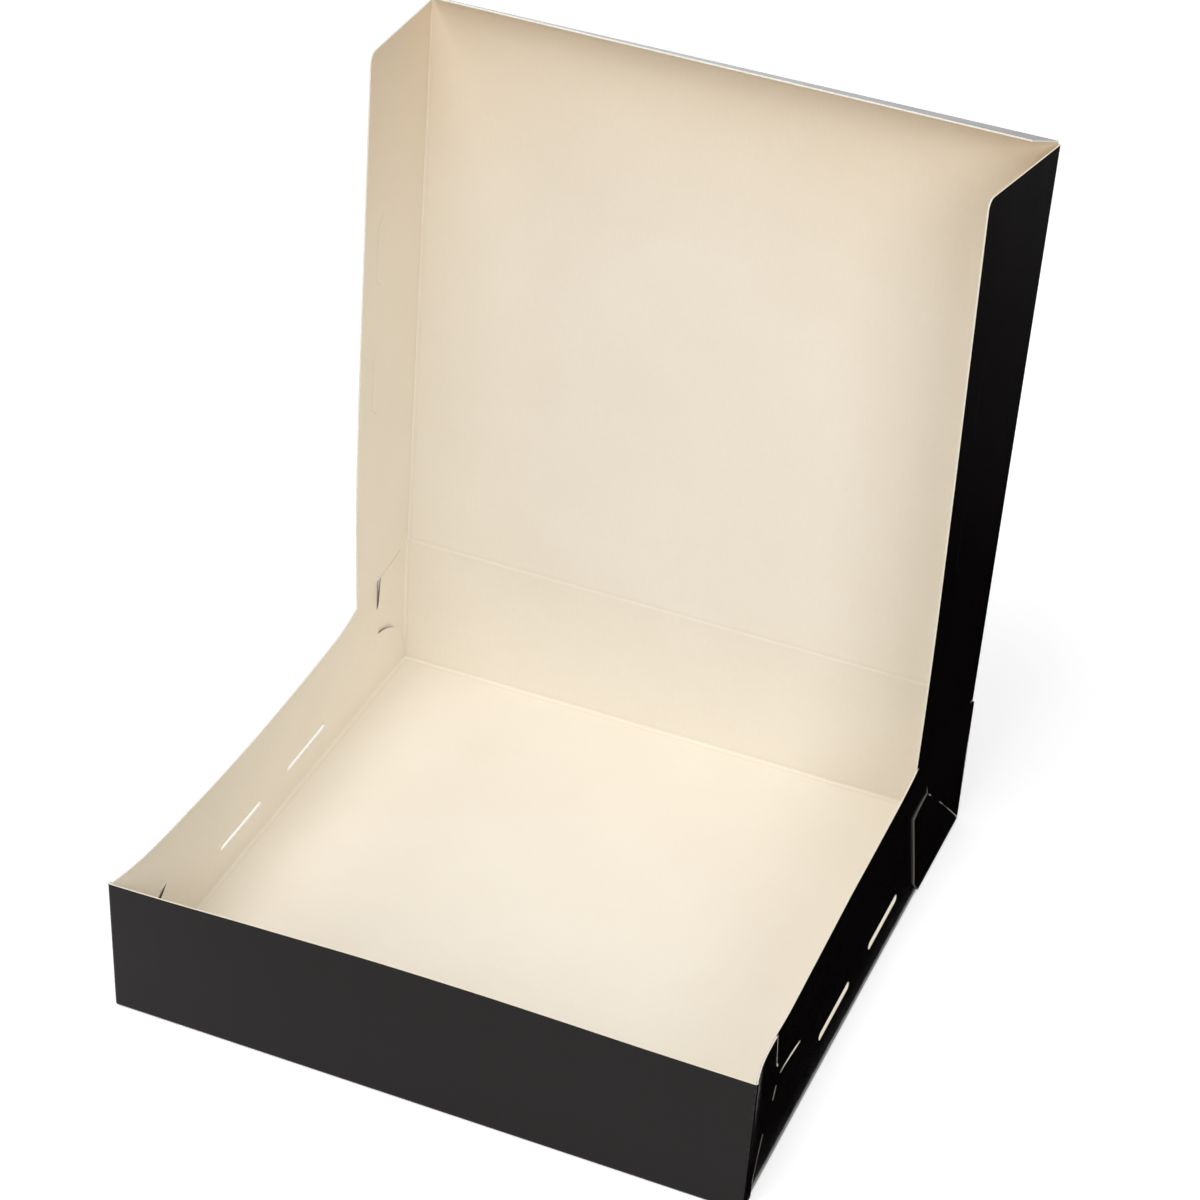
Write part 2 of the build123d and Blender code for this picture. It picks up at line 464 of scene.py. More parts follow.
black = {
    "colour": (0.0042, 0.0030, 0.0032, 1.0),
    "worn": (0.10, 0.092, 0.085, 1.0),
    "wornShare": 0.30,
    "chips": (420.0, 4.0),
    "chipSpread": (0.60, 0.72),
    "waves": (24.0, 2.0, (2.2, 2.2, 0.35)),
    "waveBump": (0.16, 0.0014),
    "grain": (1400.0, 2.0),
    "grainBump": (0.12, 0.00004),
    "smears": (60.0, 3.0, (1.0, 1.0, 0.25)),
    "roughness": (0.12, 0.20),
    "specular": 0.19,
    "specularTint": (1.0, 0.88, 0.90, 1.0),
}


def makeBlack():
    material, tree, shader, place = newMaterial("blackOutside")
    chips = ramp(tree, noise(tree, place, *black["chips"]), black["chipSpread"], (none, plain))
    worn = maths(tree, "MULTIPLY", chips, scaled(tree, attribute(tree, "foldLightShadeAndWear"), 0.0, black["wornShare"]))
    wave = noise(tree, place, *black["waves"])
    grain = noise(tree, place, *black["grain"])
    setInputs(tree, shader, {
        "Base Color": mix(tree, "MIX", worn, black["colour"], black["worn"]),
        "Roughness": scaled(tree, noise(tree, place, *black["smears"]), *black["roughness"]),
        "Specular IOR Level": black["specular"],
        "Specular Tint": black["specularTint"],
        "Normal": bumps(tree, (wave, black["waveBump"]), (grain, black["grainBump"])),
    })
    return material


cut = {
    # painted shade: the colour that darkens cut edges that are in shade
    "edgeShadeColour": (0.035, 0.032, 0.030, 1.0),
    "fibres": (1100.0, 3.0),
    "fibreSpread": (0.30, 0.60),
    "fibreShades": ((0.80, 0.73, 0.60), (0.90, 0.85, 0.75)),
    "fibreBump": (0.6, 0.0001),
    "roughness": 0.85,
    "specular": 0.2,
}


def makeCutEdge():
    material, tree, shader, place = newMaterial("cutEdge")
    fibre = noise(tree, place, *cut["fibres"])
    base = ramp(tree, fibre, cut["fibreSpread"], cut["fibreShades"])
    # cut edges are darkened by painted shade where the piece says so
    setInputs(tree, shader, {
        "Base Color": mix(tree, "MIX", attribute(tree, "paintedEdgeShade"), base, cut["edgeShadeColour"]),
        "Roughness": cut["roughness"],
        "Specular IOR Level": cut["specular"],
        "Normal": bumps(tree, (fibre, cut["fibreBump"])),
    })
    return material


creamInside = makeCream()
blackOutside = makeBlack()
cutEdge = makeCutEdge()
print("materials made")


def newGroup(name, inputs):
    # A geometry node group with those inputs, by kind, a function that adds a node to it and gives that
    # node's outputs, and the outputs of its input node
    group = bpy.data.node_groups.new(name, "GeometryNodeTree")
    group.interface.new_socket("Geometry", in_out="OUTPUT", socket_type="NodeSocketGeometry")
    for kind, names in inputs.items():
        for each in names:
            group.interface.new_socket(each, in_out="INPUT", socket_type="NodeSocket" + kind)

    def node(kind, values=None, **settings):
        return addNode(group, kind, values, **settings).outputs

    return group, node, node("NodeGroupInput")


def paint(group, geometry, material, selection=True):
    inputs = {"Geometry": geometry, "Material": material, "Selection": selection}
    return addNode(group, "GeometryNodeSetMaterial", inputs).outputs[0]


def runGroup(name, group, values, mesh=None):
    # Gives a plain mesh made by a node group, with no modifier left on it
    carrier = addObject(name + "Carrier", mesh or bpy.data.meshes.new(name + "Carrier"))
    modifier = carrier.modifiers.new("nodes", "NODES")
    modifier.node_group = group
    for item in group.interface.items_tree:
        if item.in_out == "INPUT" and item.name in values:
            modifier[item.identifier] = values[item.name]
    carrier.update_tag()
    bpy.context.view_layer.update()
    result = bpy.data.meshes.new_from_object(carrier.evaluated_get(bpy.context.evaluated_depsgraph_get()))
    result.name = name
    bpy.data.objects.remove(carrier)
    return result


# Small pale flecks, where the printed face is cracked along a fold or frayed along an edge
wear = {
    "spacing": 0.45,
    "clumps": 260.0,
    "clumpSpread": (0.30, 0.70),
    "sizes": (0.45, 1.15),
    # (y, z) stretches on a tab's outer face, the share of it that is bare, and the flecks' width and length
    "front": ((((-117.2, 72.5), (-116.6, 57.0)), 0.80, 0.20, 0.9),
              (((-116.0, 56.0), (-115.6, 54.4)), 1.0, 0.75, 1.2),
              # the next two stretches run down a crease: their flecks are worn print and also a painted
              # highlight where the crease catches the light
              (((-113.2, 47.2), (-116.8, 42.0), (-120.6, 35.9)), 0.60, 0.18, 1.0),
              (((-130.5, 27.5), (-135.5, 20.0), (-140.6, 9.5)), 0.85, 0.09, 1.6)),
    "rearCrease": (0.78, 0.40, 1.4),
    "rearCreaseShares": (0.05, 0.35, 0.65, 0.97),
    "rearCorner": (1.0, 0.85, 1.5),
    "rearCornerShares": (0.035, 0.065),
    "seeds": {(-1, -1): 3, (1, -1): 7, (-1, 1): 43, (1, 1): 47},  # by side and end
    "seedStep": 10,
    "lift": 0.02,
}


def fleckTree():
    # Flecks along a path: how far apart, how large, and what share of the path has them
    group, node, given = newGroup("flecks", {
        "Geometry": ("Path",), "Float": ("Spacing", "Length", "Width", "Kept", "Clumps"), "Int": ("Seed",)})
    curve = node("GeometryNodeMeshToCurve", {"Mesh": given["Path"]})["Curve"]
    points = node("GeometryNodeResampleCurve", {"Curve": curve, "Length": given["Spacing"]}, mode="LENGTH")
    clump = node("ShaderNodeTexNoise", {"Scale": given["Clumps"], "W": given["Seed"]}, noise_dimensions="4D")
    low, high = wear["clumpSpread"]
    spread = node("ShaderNodeMapRange", {"From Min": low, "From Max": high, "Value": clump["Fac"]})
    kept = node("FunctionNodeCompare", {"A": spread["Result"], "B": given["Kept"]}, operation="LESS_EQUAL")
    low, high = wear["sizes"]
    size = node("FunctionNodeRandomValue", {"Min": low, "Max": high, "Seed": given["Seed"]}, data_type="FLOAT")
    length, width = (maths(group, "MULTIPLY", given[key], size["Value"]) for key in ("Length", "Width"))
    scale = node("ShaderNodeCombineXYZ", {"X": length, "Y": width, "Z": width})
    tangent = node("GeometryNodeInputTangent")
    turn = node("FunctionNodeAlignRotationToVector", {"Vector": tangent[0]}, axis="X")
    fleck = node("GeometryNodeMeshIcoSphere", {"Radius": 0.5, "Subdivisions": 1})    # one unit across
    placed = node("GeometryNodeInstanceOnPoints", {
        "Points": points["Curve"], "Selection": kept["Result"], "Instance": fleck["Mesh"],
        "Rotation": turn[0], "Scale": scale[0]})
    realized = node("GeometryNodeRealizeInstances", {0: placed[0]})
    node("NodeGroupOutput", {0: paint(group, realized[0], cutEdge)})
    return group


fleckGroup = fleckTree()


def addFlecks(piece, path, kept, width, length, seed):
    # path: points in millimetres on the piece's black face
    line = bpy.data.meshes.new("fleckPath")
    line.from_pydata([tuple(p * mm) for p in path], [(k, k + 1) for k in range(len(path) - 1)], [])
    values = {"Spacing": wear["spacing"] * mm, "Length": length * mm, "Width": width * mm,
              "Kept": kept, "Clumps": wear["clumps"], "Seed": seed}
    flecks = runGroup(piece.name + "Flecks", fleckGroup, values, line)
    build = bmesh.new()
    build.from_mesh(piece.data)
    before = len(build.faces)
    build.from_mesh(flecks)
    build.faces.ensure_lookup_table()
    for face in build.faces[before:]:
        face.material_index = cutSlot
        face.smooth = True
    print(piece.name, len(build.faces) - before, "fleck faces")
    build.to_mesh(piece.data)
    build.free()


# Tray: base with its front and back walls, and the upright folds at their ends
tray = {
    "hingeReach": 1.25,  # the lid's crease strip starts this far below the hinge line
    "tabFoot": 1.5,  # lowest point of the upright folds
    "cornerNotch": 0.25,
    # x, and how far the front wall's top stands inwards
    "frontLean": ((-150, -3.3), (-118, -2.5), (-90, -1.1), (-62, -0.1), (-35, 1.0), (-7, 1.6), (30, 1.8),
                  (60, 1.5), (100, 0.9), (150, 0.8)),
    "leanBlend": 22.0,  # how far along the wall its lean is smoothed
    "leanReach": 45.0,  # the corners carry the lean this far along the side walls
}
frontLean = smoothCurve(tray["frontLean"], tray["leanBlend"])


def smoothStep(share):
    share = np.clip(share, 0, 1)
    return share * share * (3 - 2 * share)


def leaned(places):
    # The tray's points with the front wall's lean
    x, y, z = places.T
    share = smoothStep((tray["leanReach"] - halfDepth - y) / tray["leanReach"])
    return np.column_stack([x, y + frontLean(x) * np.clip(z / wallHeight, 0, 1) * share, z])


endStart = halfDepth - board - sheet["foldRadius"]
cornerStart = halfWidth - board - sheet["foldRadius"]
sideStart = sideWallInner - sheet["foldRadius"]
wallFoot = board + sheet["foldRadius"]  # height at which a fold ends and its wall is upright
sideSeam = wallFoot + sheet["seam"]  # height at which the side walls' own meshes start
tabSeam = halfDepth - wallFoot - sheet["seam"]


def netHeight(height):
    # Distance along the net from the base's centre line to that height on an end wall
    return endStart + foldArc + height - wallFoot


def placeTray(flat, depth):
    across, along = flat[:, 0], flat[:, 1]
    sideSign, endSign = np.sign(across), np.sign(along)
    inWall = abs(along) > endStart
    # the base and the feet of the side walls
    out, up, turn = bend(abs(across) - sideStart)
    middle = foldArc / 2
    depthBase = raised(depth, ridge(abs(across) - sideStart - middle))
    base = np.column_stack([
        sideSign * (sideStart + out + np.sin(turn) * depthBase),
        along,
        board + up - np.cos(turn) * depthBase,
    ])
    # the end walls and their upright folds
    outEnd, upEnd, turnEnd = bend(abs(along) - endStart)
    outCorner, inCorner, turnCorner = bend(abs(across) - cornerStart)
    scored = ridge(abs(along) - endStart - middle) + ridge(abs(across) - cornerStart - middle)
    depthWall = raised(depth, scored)
    normalY, normalZ = endSign * np.sin(turnEnd), -np.cos(turnEnd)
    offset = np.cos(turnCorner) * depthWall - inCorner
    wall = np.column_stack([
        sideSign * (cornerStart + outCorner + np.sin(turnCorner) * depthWall),
        endSign * (endStart + outEnd) + normalY * offset,
        board + upEnd + normalZ * offset,
    ])
    return leaned(np.where(inWall[:, None], wall, base))


def markTray(flat):
    across, along = abs(flat[:, 0]), abs(flat[:, 1])
    middle = foldArc / 2
    end = foldLightShadeAndWear(along - endStart - middle)
    upright = np.where(along > endStart, foldLightShadeAndWear(across - cornerStart - middle), 0)
    side = np.where(along > endStart, 0, foldLightShadeAndWear(across - sideStart - middle))
    return strongest(end, upright, side)


def makeTrayBody():
    tabEnd = cornerStart + foldArc + sheet["seam"]
    sideEnd = sideStart + foldArc + sheet["seam"]
    notch = tray["cornerNotch"]
    frontTop = netHeight(wallHeight)
    backTop = netHeight(hingePlace[2] - tray["hingeReach"])
    foot = netHeight(tray["tabFoot"])

    def corner(top):
        # from the top of an end wall down its upright fold, round the notch to the base's side
        return [(tabEnd, top), (tabEnd, foot), (cornerStart, endStart + notch),
                (sideStart, endStart - notch), (sideEnd, endStart - 2 * notch)]

    back = corner(backTop)
    front = [(u, -v) for u, v in corner(frontTop)]
    right = front + back[::-1]
    loop = right + [(-u, v) for u, v in right[::-1]]
    folds = [(endStart, foldArc), (-endStart - foldArc, foldArc)]
    across = gridLines(-tabEnd, tabEnd, [(sideStart, foldArc), (-sideStart - foldArc, foldArc),
                                         (cornerStart, foldArc), (-cornerStart - foldArc, foldArc)])
    along = gridLines(-frontTop, backTop, folds)
    return makePanel("trayBody", [loop], across, along, placeTray, markTray)


trayBody = makeTrayBody()
print("tray body", len(trayBody.data.polygons), "faces")

# Side walls: they bow inwards along their top edge
sideWall = {
    # y, and how far the top edge stands inwards there
    "bow": {-1: ((-150, 0), (-136, 3.2), (-118, 5.1), (-100, 5.9), (-70, 7.2), (-35, 7.9), (0, 7.8),
                 (35, 7.2), (62, 6.3), (80, 4.3), (100, 2.2), (114, 0.3), (150, 0)),
            1: ((-150, 0), (-137, 2.5), (-122, 2.9), (-104, 2.5), (-78, 3.1), (-48, 3.8), (-15, 4.6),
                (20, 5.0), (60, 5.6), (78, 6.2), (92, 7.0), (103, 5.8), (115, 4.1), (150, 0))},
    "bowReach": 11.0,
    "bowRise": 1.15,
    "slotLength": 41.0,
    "slotHeight": {-1: 3.2, 1: 4.0},
    "slotLevel": 21.0,
    "slotShares": (0.385, 0.613),
    "endRelief": 0.9,
    "notchLength": {-1: 34.0, 1: 49.0},
    "notchLevel": 36.5,
    "lobeLengthShare": 0.35,
    "lobeLevelShare": 0.72,
    "lobeFootShare": 0.16,
    "lobeSteps": 16,
    "lobeLift": 1.0,  # the lobe stands off the tab behind it, most at this y and z
    "lobeLiftAt": (121.0, 32.0),
    "lobeLiftReach": (20.0, 14.0),
    # y and z along the slot that the front tab hooks into, and its width there
    "hookSlot": {-1: ((-119.5, 32.5), (-116.5, 35.6), (-112.5, 39.4), (-109.0, 41.2)),
                 1: ((-109, 45.0), (-104, 45.2), (-95, 44.1), (-88, 42.9), (-82.7, 41.9))},
    "hookWidth": {-1: (0.8, 0.9, 0.45, 0.1), 1: (0.4, 0.9, 1.5, 1.5, 0.6)},
    "hookPaintedShade": 0.9,  # painted shade: how dark the left slot's cut edges are, for the shadow in the gap behind them
    "hookLift": 1.0,  # the wall below the slot stands in at its front end
    "hookLiftAt": -115.0,
    "hookLiftReach": 7.5,
    "hookLiftFade": 9.0,
    "keep": 0.05,
}
bowCurves = sideCurves(sideWall["bow"], sideWall["bowReach"])


def rise(z, power):
    return np.clip((z - sideSeam) / (wallHeight - sideSeam), 0, 1) ** power


def wallBow(side, y, z):
    # How far a side wall stands inwards of its own plane
    (atY, atZ), (reachY, reachZ) = sideWall["lobeLiftAt"], sideWall["lobeLiftReach"]
    lobe = np.exp(-(((y - atY) / reachY) ** 2) - ((z - atZ) / reachZ) ** 2)
    bow = bowCurves[side](y) * rise(z, sideWall["bowRise"]) + sideWall["lobeLift"] * lobe
    if side > 0:
        return bow
    slotZ = np.interp(y, *zip(*sideWall["hookSlot"][side]))
    below = np.where(z < slotZ, np.exp(-(slotZ - z) / sideWall["hookLiftFade"]), 0)
    near = np.clip(1 - ((y - sideWall["hookLiftAt"]) / sideWall["hookLiftReach"]) ** 2, 0, 1) ** 2
    return bow + sideWall["hookLift"] * below * near


def notchStart(side):
    return halfDepth - sideWall["endRelief"] - sideWall["notchLength"][side]


def sidePlace(side, innerX, bow):
    # Puts a flat (y, z) outline on a side of the tray, with its cream face at innerX
    def place(flat, depth):
        y, z = flat[:, 0], flat[:, 1]
        return leaned(np.column_stack([side * (innerX + depth - bow(side, y, z)), y, z]))
    return place


def nearPath(flat, path, margin=1.0):
    # Which points lie in the box around a path
    return np.all((flat > np.min(path, axis=0) - margin) & (flat < np.max(path, axis=0) + margin), axis=1)


def rideTray(piece):
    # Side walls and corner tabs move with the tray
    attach(piece, "tray")
    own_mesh(piece)


def makeSideWall(name, side):
    front = -halfDepth + sideWall["endRelief"]
    rear = halfDepth - sideWall["endRelief"]
    notchFront = notchStart(side)
    level = sideWall["notchLevel"]
    lobe = arcPoints(
        (notchFront, level),
        (rear - sideWall["lobeLengthShare"] * (rear - notchFront), sideWall["lobeLevelShare"] * level),
        (rear, sideWall["lobeFootShare"] * level), sideWall["lobeSteps"])
    loops = [[(rear, sideSeam), (front, sideSeam), (front, wallHeight), (notchFront, wallHeight)] + lobe]
    slotSize = sideWall["slotLength"], sideWall["slotHeight"][side]
    for share in sideWall["slotShares"]:
        middle = -halfDepth + share * 2 * halfDepth
        loops.append(slotLoop(middle, sideWall["slotLevel"], *slotSize))
    hookPath = sideWall["hookSlot"][side]
    loops.append(channel(hookPath, sideWall["hookWidth"][side]))

    # painted shade on the left hook slot's cut edges
    def shadeHookEdges(flat):
        return sideWall["hookPaintedShade"] * nearPath(flat, hookPath)

    piece = makePanel(name, loops, gridLines(front, rear), gridLines(sideSeam, wallHeight),
                      sidePlace(side, sideWallInner, wallBow), paintedEdgeShade=shadeHookEdges if side < 0 else None)
    rideTray(piece)


for sideName, sideSign in sides.items():
    makeSideWall(sideName + "Wall", sideSign)

# Corner tabs, outside the side walls. The rear ones come through the wall's notch and end inside it
cornerTab = {
    "foot": 1.5,
    "frontReach": 46.0,
    "rearReach": 73.0,
    # share of the reach, and of the wall's height, up the free edge from the foot. The left front tab's hook
    # has slipped out behind its slot
    "frontEdge": {-1: ((0.22, 0.0), (0.96, 0.34), (1.0, 0.59), (0.96, 0.69), (0.79, 0.80), (0.72, 0.955),
                       (0.06, 0.955)),
                  1: ((0.20, 0.0), (0.20, 0.11), (0.40, 0.35), (0.63, 0.487), (0.73, 0.60), (0.76, 0.68),
                      (0.72, 0.78), (0.71, 1.0))},
    "rearEdge": ((0.86, 0.0), (0.95, 0.12), (1.0, 0.68)),
    "shoulderShare": 0.69,
    "overlap": 1.6,
    "relief": 0.9,
    "creaseDepth": 0.16,
    "creaseWidth": 0.8,
    "frontRise": 2.0,  # the front tabs stand off the wall below their top edge
    # y, and how far a rear tab's top edge stands inwards there
    "rearBow": {-1: ((77, 2.0), (112, 3.2), (120, 2.6), (130, 2.0), (140, 1.3), (146, 0.5), (148.2, 0)),
                1: ((77, 6.3), (98, 7.9), (106, 6.4), (115, 4.8), (130, 3.4), (140, 2.5), (146, 1.4),
                    (148.2, 0))},
    "rearBowReach": 2.5,
    "rearTurn": (45.0, 58.0),  # heights between which it passes from outside the wall to inside
    "rearTop": 72.6,
    "paintedEdgeShade": {-1: 0.75, 1: 0.78},  # painted shade: how dark the cut edges are, by end, where they are in shade
    "topPaintedShade": {-1: 0.0, 1: 0.90},  # and the painted shade along their tops
    "topRim": 0.2,
    "topLine": 0.3,
    "cell": 2.0,
}
tabCurves = sideCurves(cornerTab["rearBow"], cornerTab["rearBowReach"])


def frontTabBow(side, y, z):
    return bowCurves[side](y) * rise(z, cornerTab["frontRise"] if side < 0 else sideWall["bowRise"])


def rearTabBow(side, y, z):
    low, high = cornerTab["rearTurn"]
    outside, inside = bowCurves[side](y), tabCurves[side](y)
    return (outside + (inside - outside) * smoothStep((z - low) / (high - low))) * rise(z, sideWall["bowRise"])


def tabOutline(side, end):
    # Corners of a tab as (y, z), end -1 at the front wall and 1 at the back wall
    foot = cornerTab["relief"]
    reach = cornerTab["frontReach" if end < 0 else "rearReach"]
    edge = cornerTab["rearEdge"] if end > 0 else cornerTab["frontEdge"][side]
    points = [(end * tabSeam, cornerTab["foot"])]
    for reachShare, heightShare in edge:
        y = end * (halfDepth - reachShare * reach)
        points.append((y, max(cornerTab["foot"], foot + heightShare * (wallHeight - foot))))
    if end > 0:
        y = notchStart(side) - cornerTab["overlap"]
        points += [(y, foot + cornerTab["shoulderShare"] * (wallHeight - foot)), (y, cornerTab["rearTop"])]
    points.append((end * tabSeam, points[-1][1] if end > 0 else wallHeight))
    return points


def tabCrease(side):
    # The rear tab's diagonal crease, from the foot of the corner to its shoulder
    return np.array([halfDepth, cornerTab["relief"]]), np.array(tabOutline(side, 1)[4])


def tabPlace(side, end):
    # The diagonal crease is pressed into the black face of the rear tab
    flatPlace = sidePlace(side, halfWidth - board, frontTabBow if end < 0 else rearTabBow)
    if end < 0:
        return flatPlace
    creaseStart, creaseEnd = tabCrease(side)

    def place(flat, depth):
        run = creaseEnd - creaseStart
        share = np.clip(((flat - creaseStart) @ run) / (run @ run), 0, 1)
        gap = np.linalg.norm(flat - creaseStart - share[:, None] * run, axis=1)
        pressed = cornerTab["creaseDepth"] * bell(gap, cornerTab["creaseWidth"])
        return flatPlace(flat, depth - np.where(depth > 0, pressed, 0))
    return place


def wornLines(side, end):
    # Each worn stretch: its corners as (y, z), bare share, width and length of its flecks
    if end < 0:
        return wear["front"]
    creaseStart, creaseEnd = tabCrease(side)
    run = creaseEnd - creaseStart
    return [(tuple(creaseStart + run * s for s in wear[kind + "Shares"]), *wear[kind])
            for kind in ("rearCrease", "rearCorner")]


def makeTab(name, side, end):
    outline = tabOutline(side, end)
    low, high = min(p[0] for p in outline), max(p[0] for p in outline)
    top, cell = max(p[1] for p in outline), cornerTab["cell"]
    across = np.array(sorted(set(gridLines(low, high)) | set(np.arange(low, high, cell))))
    along = np.append(np.arange(cornerTab["foot"], top - cell / 2, cell), [top - cornerTab["topLine"], top])
    place = tabPlace(side, end)
    piece = makePanel(name, [outline], across, along, place, paintedEdgeShade=lambda flat: np.where(
        flat[:, 1] < top - cornerTab["topRim"], cornerTab["paintedEdgeShade"][end], cornerTab["topPaintedShade"][end]))
    for k, (line, kept, width, length) in enumerate(wornLines(side, end)):
        path = place(np.array(line), np.full(len(line), board + wear["lift"]))
        addFlecks(piece, path, kept, width, length, wear["seedStep"] * k + wear["seeds"][side, end])
    rideTray(piece)


for sideName, sideSign in sides.items():
    makeTab(sideName + "FrontTab", sideSign, -1)
    makeTab(sideName + "RearTab", sideSign, 1)
print("side walls and corner tabs made")

# Lid panel
lid = {
    "reach": 1.25,  # hinge strip
    "creaseReach": 0.8,  # strips at its other three sides
}


def panelPoints(corner, depth, inDir, *steps):
    # From the corner by each distance along its direction, and in or out by the sheet's depth
    for distance, direction in steps + ((board / 2 - depth, inDir),):
        corner = corner + distance[:, None] * direction
    return corner


def turned(angle, first, second):
    # The first direction, turned towards the second
    return np.multiply.outer(np.cos(angle), first) + np.multiply.outer(np.sin(angle), second)


def lidPlace(flat, depth):
    x, s = flat[:, 0], flat[:, 1]
    depth = raised(depth, ridge(flapFoldX - abs(x)) + ridge(s) + ridge(lidLength - s))
    return panelPoints(hingePlace, depth, lidForward, (x, acrossDir), (s, lidUp))


def markLid(flat):
    x, s = flat[:, 0], flat[:, 1]
    return strongest(foldLightShadeAndWear(flapFoldX - abs(x)), foldLightShadeAndWear(s), foldLightShadeAndWear(lidLength - s))


halfLid = flapFoldX - lid["creaseReach"]
lidStart, lidEnd = lid["reach"], lidLength - lid["creaseReach"]
lidPanel = makePanel(
    "lidPanel", [[(-halfLid, lidStart), (halfLid, lidStart), (halfLid, lidEnd), (-halfLid, lidEnd)]],
    gridLines(-halfLid, halfLid, [(-flapFoldX, 0), (flapFoldX, 0)]),
    gridLines(lidStart, lidEnd, [(0, 0), (lidLength, 0)]), lidPlace, markLid)

# Side flaps of the lid
sideFlap = {
    "depth": 70.0,
    "endGap": 1.2,
    "rearGap": 0.3,
    "corner": 4.5,
    # share of the lid's length, and degrees that the flap is folded past square there
    "turn": {-1: ((0, 4.8), (0.1, 3.8), (0.22, 2.9), (0.4, 2.5), (1, 2.35)),
             1: ((0, 4.8), (0.1, 4.8), (0.27, 5.2), (0.53, 6.4), (1, 9.0))},
    "turnReach": 0.06,
    "cornerSteps": 8,
    "tongueCut": 0.07,
    "tongueReach": 5.5,
    "tongueCorner": 5.0,
    "tongueSideGap": 2.0,
    # painted shade in the tongues' cuts
    "tonguePaintedShade": 0.95,
    "frontReach": 298.95,  # from the hinge line to the front wall's inside, with the lid closed
}


def tonguePath(share):
    middle = sideFlap["frontReach"] + board - share * 2 * halfDepth
    half = sideWall["slotLength"] / 2 - sideFlap["tongueSideGap"]
    foot = hingePlace[2] - sideWall["slotLevel"] - sideFlap["tongueReach"] / 2
    inset, top = sideFlap["tongueCorner"], foot + sideFlap["tongueReach"]
    return [(middle - half, foot), (middle - half + inset, top),
            (middle + half - inset, top), (middle + half, foot)]


flapTurns = sideCurves(sideFlap["turn"], sideFlap["turnReach"])


def flapPlace(side):
    foldStart = np.array([side * flapFoldX, hingePlace[1], hingePlace[2]])
    inward = -side * acrossDir

    def place(flat, depth):
        s, d = flat[:, 0], flat[:, 1]
        turn = np.radians(flapTurns[side](s / lidLength))
        outDir, inDir = turned(turn, lidForward, inward), turned(turn, inward, -lidForward)
        return panelPoints(foldStart, raised(depth, ridge(d)), inDir, (s, lidUp), (d, outDir))
    return place


def markFlap(flat):
    return foldLightShadeAndWear(flat[:, 1])


def shadeTongueEdges(flat):
    # Painted shade: the tongues' cuts are dark, for the shadow in them
    tongues = [nearPath(flat, tonguePath(share)) for share in sideWall["slotShares"]]
    return sideFlap["tonguePaintedShade"] * np.any(tongues, axis=0)


def makeSideFlap(name, side):
    low, high = sideFlap["rearGap"], lidLength - sideFlap["endGap"]
    start, depth = lid["creaseReach"], sideFlap["depth"]
    radius, steps = sideFlap["corner"], sideFlap["cornerSteps"]
    angles = [k * math.pi / 2 / steps for k in range(steps + 1)]
    corner = [(high - radius + radius * math.sin(a), depth - radius + radius * math.cos(a)) for a in angles]
    loops = [[(high, start), (low, start), (low, depth)] + corner]
    loops += [channel(tonguePath(share), [sideFlap["tongueCut"]] * 4) for share in sideWall["slotShares"]]
    return makePanel(name, loops, gridLines(low, high), gridLines(start, depth, [(0, 0)]),
                     flapPlace(side), markFlap, shadeTongueEdges)


leftFlap = makeSideFlap("leftFlapPanel", -1)
rightFlap = makeSideFlap("rightFlapPanel", 1)

# Front flap of the lid
frontFlap = {
    "depth": 20.0,
    "inset": 1.0,
    "taper": 7.0,
    "foldLeft": 66.0,  # degrees from the lid's plane
    "foldRight": 72.0,
}


def frontFlapPlace(flat, depth):
    # Folded by another angle at each end
    x, d = flat[:, 0], flat[:, 1]
    share = np.clip((x + flapFoldX) / (2 * flapFoldX), 0, 1)
    fold = np.radians(frontFlap["foldLeft"] + (frontFlap["foldRight"] - frontFlap["foldLeft"]) * share)
    outDir, inDir = turned(fold, lidUp, lidForward), turned(fold, lidForward, -lidUp)
    return panelPoints(frontFoldPlace, raised(depth, ridge(d)), inDir, (x, acrossDir), (d, outDir))


halfFlap, flapStart, flapDepth = flapFoldX - frontFlap["inset"], lid["creaseReach"], frontFlap["depth"]
halfEdge = halfFlap - frontFlap["taper"]
frontFlapPanel = makePanel(
    "frontFlapPanel",
    [[(-halfFlap, flapStart), (halfFlap, flapStart), (halfEdge, flapDepth), (-halfEdge, flapDepth)]],
    gridLines(-halfFlap, halfFlap), gridLines(flapStart, flapDepth, [(0, 0)]), frontFlapPlace, markFlap)
print("lid and flaps made")

# Crease strips: the scored board between two panels that turn on each other
crease = {
    "stepsAlong": 41,
    "stepsAcross": 11,
    "ridge": 0.12,
    # over the whole strip, a painted highlight on its cream face and wear on its black face
    "mark": 0.8,
    "extrude": -0.1,
    "mergeGap": 0.001,
    "endGap": 0.1,
}


